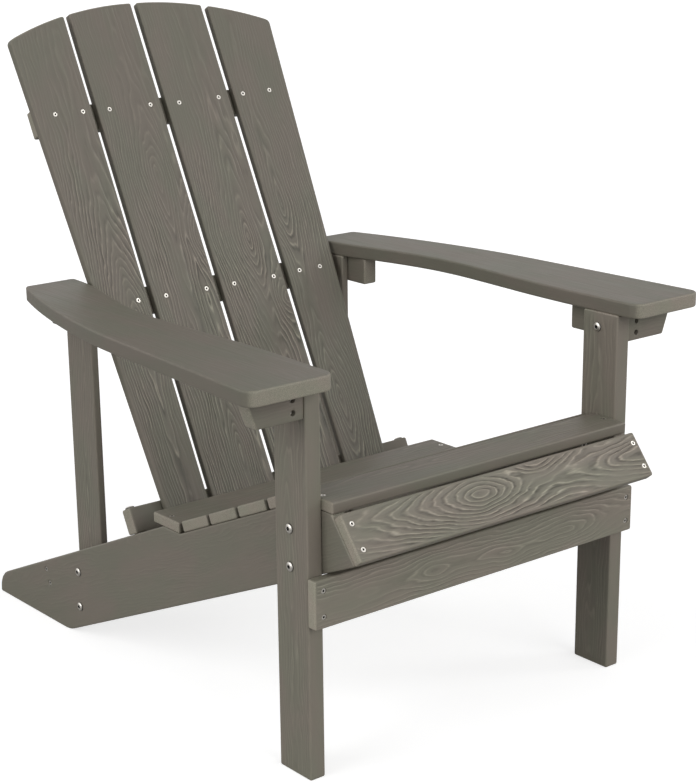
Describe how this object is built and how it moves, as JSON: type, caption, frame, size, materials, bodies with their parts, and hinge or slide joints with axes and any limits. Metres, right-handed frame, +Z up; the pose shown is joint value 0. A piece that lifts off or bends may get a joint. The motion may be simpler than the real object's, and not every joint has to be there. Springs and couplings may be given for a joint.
{
  "type": "adirondack chair",
  "caption": "Fan-backed adirondack garden chair of grey wood-grain boards, with a sloping slatted seat, a slanted front edge and broad curved arms.",
  "frame": {"origin": "middle of the chair's bounding box on the floor", "axes": "+Z up, -Y the way the sitter faces, +X to the right of someone who looks at the chair from the front"},
  "size_m": [0.759, 0.8883, 0.8875],
  "materials": {
    "boards": "satin poly resin with an embossed wood grain",
    "fasteners": "plain stainless"
  },
  "bodies": {
    "root": {"armrest_left": "boards", "armrest_right": "boards", "back_rail_lower": "boards", "back_rail_middle": "boards", "back_rail_upper": "boards", "back_slat_1": "boards", "back_slat_2": "boards", "back_slat_3": "boards", "back_slat_4": "boards", "front_apron": "boards", "front_bracket_left": "boards", "front_bracket_right": "boards", "front_cleat_left": "boards", "front_cleat_right": "boards", "front_leg_left": "boards", "front_leg_right": "boards", "rear_cleat_left": "boards", "rear_cleat_right": "boards", "rear_post_left": "boards", "rear_post_right": "boards", "rear_stretcher": "boards", "seat_front_board": "boards", "seat_rear_slat": "boards", "seat_slat_1": "boards", "seat_slat_2": "boards", "seat_slat_3": "boards", "seat_slat_4": "boards", "stringer_left": "boards", "stringer_right": "boards", "waterfall_board": "boards", "arm_bolt_front_left": "fasteners", "arm_bolt_front_right": "fasteners", "arm_bolt_rear_left": "fasteners", "arm_bolt_rear_right": "fasteners", "arm_nut_front_left": "fasteners", "arm_nut_front_right": "fasteners", "leg_bolt_lower_left": "fasteners", "leg_bolt_lower_right": "fasteners", "leg_bolt_upper_left": "fasteners", "leg_bolt_upper_right": "fasteners", "leg_nut_lower_left": "fasteners", "leg_nut_lower_right": "fasteners", "leg_nut_upper_left": "fasteners", "leg_nut_upper_right": "fasteners", "post_bolt_lower_left": "fasteners", "post_bolt_lower_right": "fasteners", "post_bolt_upper_left": "fasteners", "post_bolt_upper_right": "fasteners", "post_nut_lower_left": "fasteners", "post_nut_lower_right": "fasteners", "post_nut_upper_left": "fasteners", "post_nut_upper_right": "fasteners", "rail_screw_left": "fasteners", "rail_screw_right": "fasteners"}
  },
  "joints": []
}
